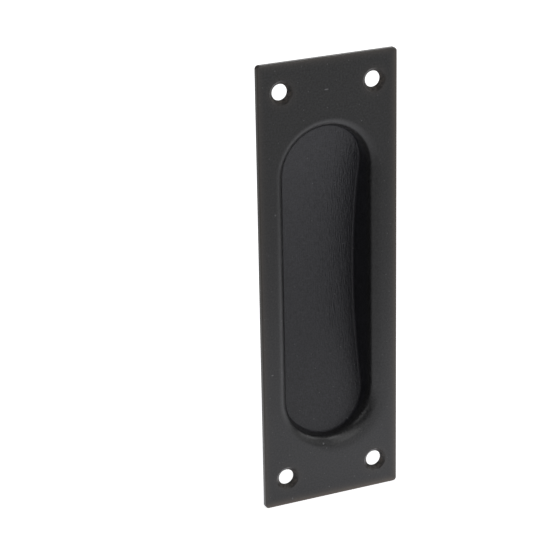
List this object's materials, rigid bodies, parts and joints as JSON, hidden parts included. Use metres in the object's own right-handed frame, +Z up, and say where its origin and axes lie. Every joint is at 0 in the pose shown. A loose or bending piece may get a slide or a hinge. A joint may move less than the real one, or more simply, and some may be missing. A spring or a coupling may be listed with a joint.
{
  "type": "flush pull for a pocket door",
  "caption": "Rectangular flush pull with a long round-ended finger recess, a rolled lip, a curved floor and countersunk screw holes at the corners.",
  "frame": {"origin": "centre of the four-hole screw pattern, on the back face that seats on the door", "axes": "+Z up along the height of the plate, +Y into the door, -Y out of the front, +X to the right seen from the front"},
  "size_m": [0.04, 0.0122, 0.125],
  "materials": {
    "black_coat": "fine matte black coating"
  },
  "bodies": {
    "root": {"flush_pull": "black_coat"}
  },
  "joints": []
}
